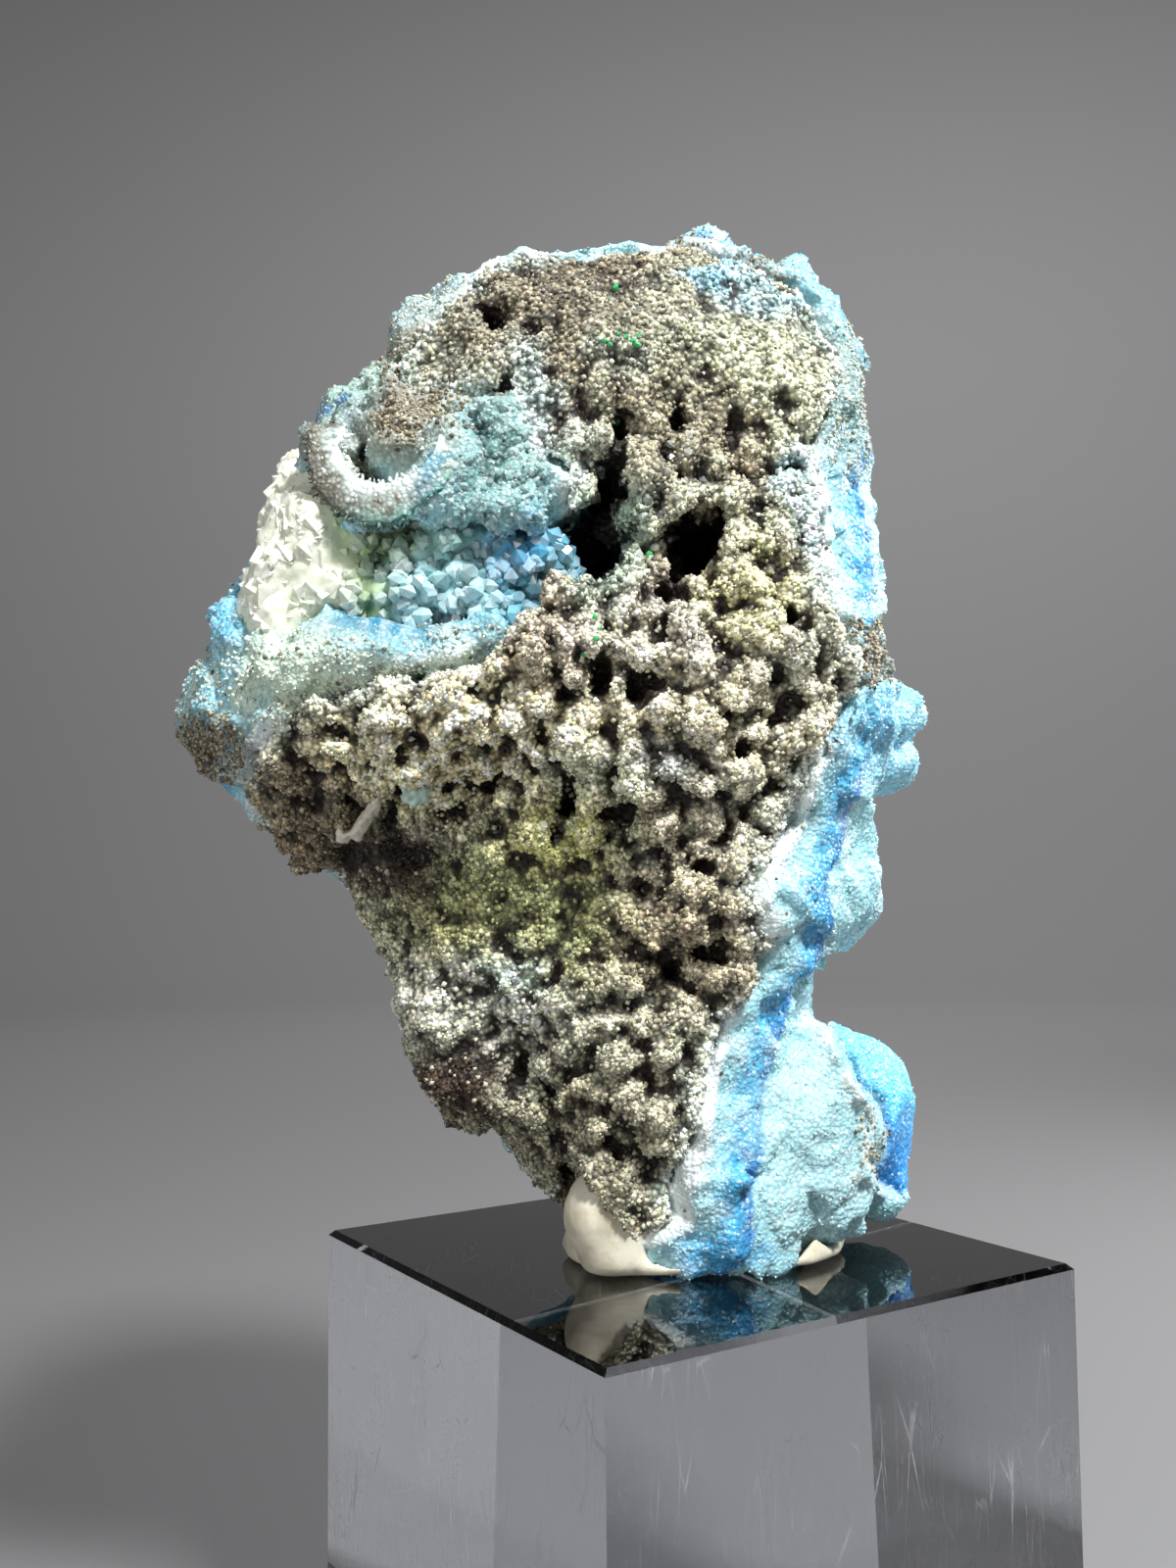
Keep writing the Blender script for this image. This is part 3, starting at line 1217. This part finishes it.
def vug_shape():
    rng = np.random.default_rng(14)
    points, triangles = remeshed(*node_shape("vug_crystals"), COARSE_VUG_VOXEL)
    points = relaxed(points, triangles, 4)
    spots, _, _ = strewn(points, triangles, in_vug(points), VUG_BALL_COUNT, rng)
    radius = rng.uniform(*VUG_BALL_RADIUS, VUG_BALL_COUNT)
    balls = copies(ball(2), spots, any_turns(VUG_BALL_COUNT, rng), radius[:, None] * np.ones(3))
    turns = any_turns(len(PALE_LUMPS), rng)
    mass = copies(ball(3), PALE_LUMPS[:, :3], turns, PALE_LUMPS[:, 3:] * np.ones(3))
    points, triangles = remeshed(*together((points, triangles), balls, mass), VUG_VOXEL)
    waxy = 1 - in_vug(points)
    points = mixed(points, relaxed(points, triangles, 60), waxy)
    normals = normals_of(relaxed(points, triangles, 10), triangles)
    planes = 1.3 * (blocky(points, 4.6, 84) - 0.7) + 0.6 * (blocky(points, 1.7, 97) - 0.7)
    points = points + normals * (waxy * planes)[:, None]
    distance, _, front = curl_place(points)
    return sunk(points, 4.0 * front * smoothstep(CURL_RADIUS, CURL_RADIUS - 1.0, distance)), triangles


def pale_blocks(points, triangles, paint):
    """Flat-sided crystals whose corners stand out of the pale mass, and their colours."""
    rng = np.random.default_rng(21)
    weight = smoothstep(0.6, 0.2, in_vug(points)) * smoothstep(-3, -8, points[:, 1])
    spots, outward, corner = strewn(points, triangles, weight, PALE_BLOCK_COUNT, rng)
    size = rng.uniform(*PALE_BLOCK_RADIUS, PALE_BLOCK_COUNT)
    scales = size[:, None] * rng.uniform(0.7, 1.1, (PALE_BLOCK_COUNT, 3))
    blocks = copies(RHOMB, spots - outward * (1.3 * size)[:, None], any_turns(PALE_BLOCK_COUNT, rng), scales)
    own = paint[corner] * rng.uniform(0.9, 1.06, PALE_BLOCK_COUNT)[:, None]
    return blocks, np.repeat(np.minimum(own, 0.95), len(RHOMB[0]), axis=0)


def vug_colours(points, triangles):
    across = points[:, 0] + 1.5 * noise(points, 4, 83)
    colours = tinted(linear(PALE_GREEN), VUG_GREEN, smoothstep(-30, -26.5, across))
    colours = tinted(colours, VUG_WHITE, smoothstep(-26, -22.5, across))
    colours = tinted(colours, VUG_BLUE, smoothstep(-19, -13, across))
    colours = stained(colours, points, VUG_STAINS, 8)
    creases = smoothstep(0.25, -0.4, standing_out(points, triangles, 30))
    colours = mixed(colours, 0.4 * colours * np.array([0.6, 1.0, 1.0]), creases * in_vug(points))
    return tinted(colours, PALE_CREASE, 0.5 * creases * (1 - in_vug(points)))


def pointed_crystals(shape, paint, weight, count, width, rng):
    """Small pointed crystals that stand on a painted surface, and their colours."""
    spots, outward, corner = strewn(*shape, weight, count, rng)
    radius = rng.uniform(*width, count)
    scales = np.stack([radius, 0.8 * radius, radius * rng.uniform(1.3, 2.2, count)], axis=1)
    lean = outward + 0.6 * rng.normal(size=outward.shape)
    form = pointed_prism(6, 0.55)
    crystals = copies(form, spots - outward * 0.2, turns_along(lean, rng), scales)
    own = tinted(paint[corner], FROST, rng.uniform(0.0, 0.5, count))
    return crystals, np.repeat(own, len(form[0]), axis=0)


vug = vug_shape()
vug_paint = vug_colours(*vug)
piece("vug_bed", vug, CHALCEDONY, "vug_crystals", vug_paint)
blocks, block_colours = pale_blocks(*vug, vug_paint)
piece("pale_blocks", blocks, CHALCEDONY, "vug_crystals", block_colours, smooth=False)
rng = np.random.default_rng(15)
thick = smoothstep(-8, -13, vug[0][:, 1]) * in_vug(vug[0])
crystals, crystal_colours = pointed_crystals(
    vug, vug_paint, thick, VUG_CRYSTAL_COUNT, VUG_CRYSTAL_RADIUS, rng
)
piece("vug_points", crystals, CRYSTAL, "vug_crystals", crystal_colours, smooth=False)
thick = druse(crust[0]) * smoothstep(0.5, 0.1, curl_ridge(crust[0]))
thick = thick * smoothstep(0.5, 0.1, curl_groove(crust[0]))
crystals, crystal_colours = pointed_crystals(
    crust, crust_paint, thick, CRUST_CRYSTAL_COUNT, CRUST_CRYSTAL_RADIUS, rng
)
piece("crust_points", crystals, CRYSTAL, "hemimorphite_crust", crystal_colours, smooth=False)
thick = patches(matrix[0], MATRIX_DRUSES, 10, 3) * smoothstep(2, -4, matrix[0][:, 1])
crystals, crystal_colours = pointed_crystals(
    matrix, matrix_paint, thick, MATRIX_CRYSTAL_COUNT, MATRIX_CRYSTAL_RADIUS, rng
)
piece("matrix_points", crystals, CRYSTAL, None, crystal_colours, smooth=False)

# The curl


def front_most(skins, across, above):
    """How far forward the first of the skins lies at a place."""
    hits = [skin.ray_cast(Vector((across, CURL_SHOWN_FROM, above)), Vector((0, 1, 0))) for skin in skins]
    return min(hit[0].y for hit in hits if hit[0])


def curl_path(skins):
    """The middle of the lip, step by step: its turn in degrees, and its place across, back and up."""
    turn = np.linspace(*CURL_ENDS, CURL_STEPS)
    across = CURL_CENTRE[0] + CURL_RADIUS * np.sin(np.radians(turn))
    above = CURL_CENTRE[1] - CURL_RADIUS * np.cos(np.radians(turn))
    depth = np.array([front_most(skins, x, z) for x, z in zip(across, above)])
    depth = np.array([depth[max(i - CURL_BRIDGE, 0):i + CURL_BRIDGE].min() for i in range(CURL_STEPS)])
    window = 2 * CURL_EVENED + 1
    depth = np.convolve(np.pad(depth, CURL_EVENED, mode="edge"), np.ones(window) / window, mode="valid")
    return turn, across, depth, above


def lip_colours(points, turn, outside, fibre):
    """White inside, brown in the middle and at the left, blue at the right, with a teal fringe outside."""
    patch = noise(points, 1.1, 79)
    speck = noise(points, 0.55, 80)
    colours = tinted(linear(LIP_DULL), LIP_BRIGHT, smoothstep(-0.6, 0.4, fibre))
    colours = tinted(colours, LIP_EDGE, smoothstep(0.1, -0.7, outside + 0.4 * patch))
    fringe = smoothstep(0.3, 0.8, outside) * smoothstep(-70, -20, turn)
    colours = tinted(colours, LIP_FRINGE, 0.8 * fringe)
    left = smoothstep(30, -50, turn) * smoothstep(-0.5, 0.4, outside + 0.5 * patch)
    middle = smoothstep(90, 30, turn) * smoothstep(0.9, 0.3, np.abs(outside - 0.2))
    middle = middle * smoothstep(-0.2, 0.3, patch + 0.6 * speck)
    colours = tinted(colours, LIP_BROWN, 0.85 * np.maximum(left, middle))
    blue = smoothstep(10, 60, turn) * smoothstep(-0.5, 0.3, patch)
    return tinted(colours, LIP_BLUE, 0.8 * blue)


def curl_band(skins):
    """The fibrous lip of the curl: a low bent band with fine grooves across it, and its colours."""
    turn, across, depth, above = curl_path(skins)
    bend = np.radians(turn)[:, None]
    share = np.linspace(-1, 1, CURL_STEPS)
    depth = depth + 0.8 * share**8
    taper = np.sqrt(np.maximum(1 - share**6, 0.01))[:, None]
    ring = 2 * math.pi * np.arange(CURL_SIDES) / CURL_SIDES
    outside = (np.sign(np.cos(ring)) * np.abs(np.cos(ring)) ** 0.7)[None] + 0 * bend
    proud = (np.sign(np.sin(ring)) * np.abs(np.sin(ring)) ** 0.5)[None] + 0 * bend
    arc = CURL_RADIUS * bend + 0 * outside
    place = np.stack([arc / 0.25, 2.5 * outside, 2.5 * proud], axis=2).reshape(-1, 3)
    fibre = noise(place, 1, 74).reshape(arc.shape)
    place = np.stack([arc, outside, proud], axis=2).reshape(-1, 3)
    wander = layered(place, 3.0, 3, 78).reshape(arc.shape)
    slim = (LIP_WIDTH - LIP_SLIMMER * smoothstep(20, 90, turn))[:, None] * taper
    reach = slim * outside * (1 + 0.12 * fibre + 0.4 * wander) + 0.1 + 0.35 * wander
    height = taper * np.where(proud > 0, LIP_PROUD, LIP_ROOT) * proud * (1 + 0.2 * fibre + 0.5 * wander)
    points = np.stack([
        across[:, None] + reach * np.sin(bend),
        depth[:, None] - height,
        above[:, None] - reach * np.cos(bend),
    ], axis=2).reshape(-1, 3)
    step = np.arange(CURL_STEPS - 1)[:, None] * CURL_SIDES
    side = np.arange(CURL_SIDES)[None]
    first = step + side
    following = step + (side + 1) % CURL_SIDES
    corners = [first, following, following + CURL_SIDES, first + CURL_SIDES]
    quads = np.stack([corner.ravel() for corner in corners], axis=1)
    triangles = np.concatenate([quads[:, [0, 1, 2]], quads[:, [0, 2, 3]]])
    turn = np.repeat(turn, CURL_SIDES)
    return (points, triangles), lip_colours(points, turn, outside.ravel(), fibre.ravel())


def curl_needles(points, triangles, colours):
    """Fine needles that lie across the lip of the curl and fray its edges, and their colours."""
    rng = np.random.default_rng(20)
    shown = smoothstep(0.2, -0.5, normals_of(points, triangles)[:, 1])
    spots, outward, corner = strewn(points, triangles, shown, CURL_NEEDLE_COUNT, rng)
    away = spots - np.array([CURL_CENTRE[0], 0, CURL_CENTRE[1]])
    away[:, 1] = 0
    reach = np.linalg.norm(away, axis=1)
    outer = np.where(reach + 0.5 * rng.normal(size=CURL_NEEDLE_COUNT) > CURL_RADIUS, 1.0, -1.0)
    lean = (outer / reach)[:, None] * away + 0.4 * outward + 0.6 * rng.normal(size=away.shape)
    radius = rng.uniform(*CURL_NEEDLE_RADIUS, CURL_NEEDLE_COUNT)
    scales = np.stack([radius, radius, rng.uniform(0.25, 0.75, CURL_NEEDLE_COUNT)], axis=1)
    form = pointed_prism(4, 0.8)
    needles = copies(form, spots - outward * 0.08, turns_along(lean, rng), scales)
    own = colours[corner] * rng.uniform(0.65, 1.15, CURL_NEEDLE_COUNT)[:, None]
    return needles, np.repeat(np.minimum(own, 0.92), len(form[0]), axis=0)


crust_skin = tree_of(*crust)
curl, curl_paint = curl_band([crust_skin, tree_of(*vug)])
piece("curl_band", curl, HEMIMORPHITE, "hemimorphite_crust", curl_paint)
needles, needle_colours = curl_needles(*curl, curl_paint)
piece("curl_needles", needles, SUGAR, "hemimorphite_crust", needle_colours, smooth=False)

# Small things on the matrix


def seen_at(pixel):
    """Where the line of sight through a pixel of the photograph meets the matrix or the crust."""
    across = (pixel[0] - IMAGE[0] / 2) / FOCAL
    above = (IMAGE[1] / 2 - pixel[1]) / FOCAL
    right = across * math.cos(ROLL) - above * math.sin(ROLL)
    up = across * math.sin(ROLL) + above * math.cos(ROLL)
    ray = Vector((right, math.cos(PITCH) - up * math.sin(PITCH), math.sin(PITCH) + up * math.cos(PITCH)))
    hits = [skin.ray_cast(Vector(EYE), ray) for skin in (matrix_skin, crust_skin)]
    place, _, _, _ = min((hit for hit in hits if hit[0]), key=lambda hit: hit[3])
    return np.array(place)


matrix_skin = tree_of(*matrix)


def green_crystals():
    rng = np.random.default_rng(16)
    spots = np.array([seen_at(pixel) for pixel in GREEN_SPOTS])
    count = len(spots)
    scales = rng.uniform(*GREEN_CRYSTAL_RADIUS, (count, 1)) * rng.uniform(0.8, 1.3, (count, 3))
    return copies(ball(1), spots - np.array([0, 0.1, 0]), any_turns(count, rng), scales)


green = green_crystals()
green_paint = np.tile(linear(GREEN), (len(green[0]), 1))
piece("green_crystals", green, CRYSTAL, None, green_paint, smooth=False)


def white_flake():
    """A thin curled flake that hangs under the ledge, and the small ball beside it."""
    rng = np.random.default_rng(17)
    path = np.array([seen_at(pixel) for pixel in FLAKE_PATH])
    steps = np.linspace(0, len(path) - 1, FLAKE_BEADS)
    lower = np.minimum(steps.astype(int), len(path) - 2)
    path[:, 1] = (path[:, 1] + path[:, 1].min()) / 2 - 0.3
    centres = mixed(path[lower], path[lower + 1], steps - lower)
    size = 0.15 + 0.28 * np.sin(math.pi * steps / steps[-1])
    scales = size[:, None] * rng.uniform(0.5, 1.7, (FLAKE_BEADS, 3)) * np.array([1.0, 2.2, 1.0])
    beads = copies(ball(2), centres, np.tile(np.eye(3), (FLAKE_BEADS, 1, 1)), scales)
    drop = seen_at(FLAKE_BALL) - np.array([0, 0.5, 0])
    drops = drop + 0.38 * rng.normal(size=(FLAKE_DROPS, 3)) * np.array([1, 0.4, 0.9])
    turns = any_turns(FLAKE_DROPS, rng)
    droplets = copies(ball(2), drops, turns, rng.uniform(0.3, 0.65, (FLAKE_DROPS, 1)) * np.ones(3))
    points, triangles = remeshed(*together(beads, droplets), FLAKE_VOXEL)
    normals = normals_of(points, triangles)
    points = points + normals * (0.28 * layered(points, 0.9, 2, 18))[:, None]
    near_drop = points[:, 0] > drop[0] - 2.6
    return (points, triangles), tinted(linear(FLAKE), DROP, near_drop)


flake, flake_paint = white_flake()
piece("white_flake", flake, CHALCEDONY, None, flake_paint)

# The putty


def putty_shape():
    lobe = copies(ball(3), PUTTY_CENTRES, np.tile(np.eye(3), (2, 1, 1)), PUTTY_RADII)
    lobe[0][:, 2] = np.maximum(lobe[0][:, 2], PUTTY_FLOOR)
    points, triangles = remeshed(*together(node_shape("putty"), lobe), PUTTY_VOXEL)
    points = relaxed(points, triangles, 12)
    normals = normals_of(points, triangles)
    free = smoothstep(PUTTY_FLOOR, BLOCK_TOP + 1.0, points[:, 2])
    dents = 0.15 * noise(points, 6, 91) + 0.05 * noise(points, 2.2, 92)
    return points + normals * (free * dents)[:, None], triangles


def putty_material():
    looks = Looks(
        "putty", Roughness=0.6, Subsurface_Weight=0.2, Subsurface_Radius=(1.0, 0.8, 0.5), Subsurface_Scale=MM
    )
    smudge = looks.add("ValToRGB", {"Fac": looks.noise(3.0, detail=6.0)["Fac"]})["Color"]
    dull, bright = smudge.node.color_ramp.elements
    dull.position = 0.3
    dull.color = (*linear(DULL_PUTTY), 1)
    bright.position = 0.55
    bright.color = (*linear(BRIGHT_PUTTY), 1)
    looks.show("Base Color", smudge)
    looks.bump(looks.noise(0.8)["Fac"], 0.5, 0.1)
    return looks.material


piece("putty_pad", putty_shape(), putty_material(), "putty")

# The clear block

# Scratches of the block: how each set is turned, the size of its lines and of its patches.
SCRATCHES = [
    ((0.9, 0.2, 0.3), 1.6, 6.0),
    ((-0.7, 0.4, 1.1), 2.0, 8.0),
]
SCRATCH_STRETCH = 0.12


def scratch_lines(looks, turn, size):
    """Thin long lines along one direction, as 1 on a line and 0 beside it."""
    scale = (1 / (size * MM), 1 / (size * MM), SCRATCH_STRETCH / (size * MM))
    along = looks.add("Mapping", {"Vector": looks.place(), "Rotation": turn, "Scale": scale})["Vector"]
    cells = looks.add("TexVoronoi", {"Vector": along, "Scale": 1.0}, feature="DISTANCE_TO_EDGE")
    return looks.mapped(cells["Distance"], 0.0, 0.02, 1.0, 0.0)


def acrylic_material():
    """Clear acrylic, hazed and finely scratched on its sides and polished on top."""
    looks = Looks("acrylic", IOR=1.49, Base_Color=(*ACRYLIC, 1))
    wear = looks.mapped(looks.noise(0.25, detail=2.0)["Fac"], 0.6, 0.75, 0.0, 0.3)
    for turn, size, spread in SCRATCHES:
        patch = looks.mapped(looks.noise(spread, detail=3.0)["Fac"], 0.5, 0.66, 0.0, 0.8)
        lines = looks.maths("MULTIPLY", scratch_lines(looks, turn, size), patch)
        wear = looks.maths("MAXIMUM", wear, lines)
    scuffed = looks.mapped(looks.noise(9.0, detail=3.0)["Fac"], 0.4, 0.62, 0.15, 1.0)
    wear = looks.maths("MULTIPLY", wear, scuffed)
    normal = looks.add("NewGeometry", {})["Normal"]
    up = looks.add("SeparateXYZ", {"Vector": normal})["Z"]
    wear = looks.maths("MULTIPLY", wear, looks.mapped(up, 0.2, 0.8, 1.0, 0.1))
    looks.show("Transmission Weight", looks.mapped(wear, 0.0, 1.0, 1.0, 0.5))
    looks.show("Roughness", looks.mapped(wear, 0.0, 1.0, 0.0, 0.5))
    return looks.material


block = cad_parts["display_block"]
block.data.materials.clear()
block.data.materials.append(acrylic_material())

# Stage, lights and camera


def stage_bowl():
    """A pale floor that curves up all round into a plain wall."""
    profile = [(0, 0), (FLOOR_REACH, 0)]
    bend = WALL_REACH - FLOOR_REACH
    for step in range(1, WALL_STEPS + 1):
        turn = math.pi / 2 * step / WALL_STEPS
        profile.append((FLOOR_REACH + bend * math.sin(turn), bend * (1 - math.cos(turn))))
    profile.append((WALL_REACH, WALL_HEIGHT))
    turns = 2 * math.pi * np.arange(WALL_SIDES) / WALL_SIDES
    points = [[reach * math.cos(t), reach * math.sin(t), up] for reach, up in profile for t in turns]
    triangles = []
    for ring in range(len(profile) - 1):
        for side in range(WALL_SIDES):
            here = ring * WALL_SIDES + side
            beside = ring * WALL_SIDES + (side + 1) % WALL_SIDES
            triangles += [[here, beside + WALL_SIDES, beside], [here, here + WALL_SIDES, beside + WALL_SIDES]]
    mesh = mesh_of("floor", np.array(points), np.array(triangles))
    mesh.polygons.foreach_set("use_smooth", np.full(len(triangles), True))
    mesh.materials.append(Looks("floor", Roughness=0.6, Base_Color=(*FLOOR_GREY, 1)).material)
    floor = bpy.data.objects.new("floor", mesh)
    bpy.context.scene.collection.objects.link(floor)


def area_light(name, place, aim, size, power):
    lamp = bpy.data.lights.new(name, "AREA")
    lamp.size = size * MM
    lamp.energy = power
    light = bpy.data.objects.new(name, lamp)
    light.location = Vector(place) * MM
    light.rotation_euler = (Vector(aim) - Vector(place)).to_track_quat("-Z", "Y").to_euler()
    light.visible_camera = False
    bpy.context.scene.collection.objects.link(light)


def photo_camera():
    data = bpy.data.cameras.new("camera")
    data.sensor_width = SENSOR
    data.lens = FOCAL / max(IMAGE) * SENSOR
    data.clip_start = 1 * MM
    camera = bpy.data.objects.new("camera", data)
    ahead = Vector((0, math.cos(PITCH), math.sin(PITCH)))
    level_up = Vector((0, -math.sin(PITCH), math.cos(PITCH)))
    right = Vector((1, 0, 0)) * math.cos(ROLL) + level_up * math.sin(ROLL)
    up = level_up * math.cos(ROLL) - Vector((1, 0, 0)) * math.sin(ROLL)
    turn = Matrix((right, up, -ahead)).transposed().to_4x4()
    camera.matrix_world = Matrix.Translation(Vector(EYE) * MM) @ turn
    bpy.context.scene.collection.objects.link(camera)
    bpy.context.scene.camera = camera


stage_bowl()
area_light("key", (140, -250, 410), STONE_MIDDLE, 70, 3.3)
area_light("fill", (-300, -380, 160), STONE_MIDDLE, 250, 0.7)
area_light("rim", (330, 150, 240), STONE_MIDDLE, 140, 1.4)
area_light("wall", (200, 500, 900), (100, 1500, 250), 400, 9.0)

world = bpy.data.worlds.new("studio")
world.use_nodes = True
world.node_tree.nodes["Background"].inputs["Color"].default_value = (1, 1, 1, 1)
world.node_tree.nodes["Background"].inputs["Strength"].default_value = EVEN_LIGHT
bpy.context.scene.world = world
bpy.context.scene.view_settings.view_transform = "Standard"
photo_camera()
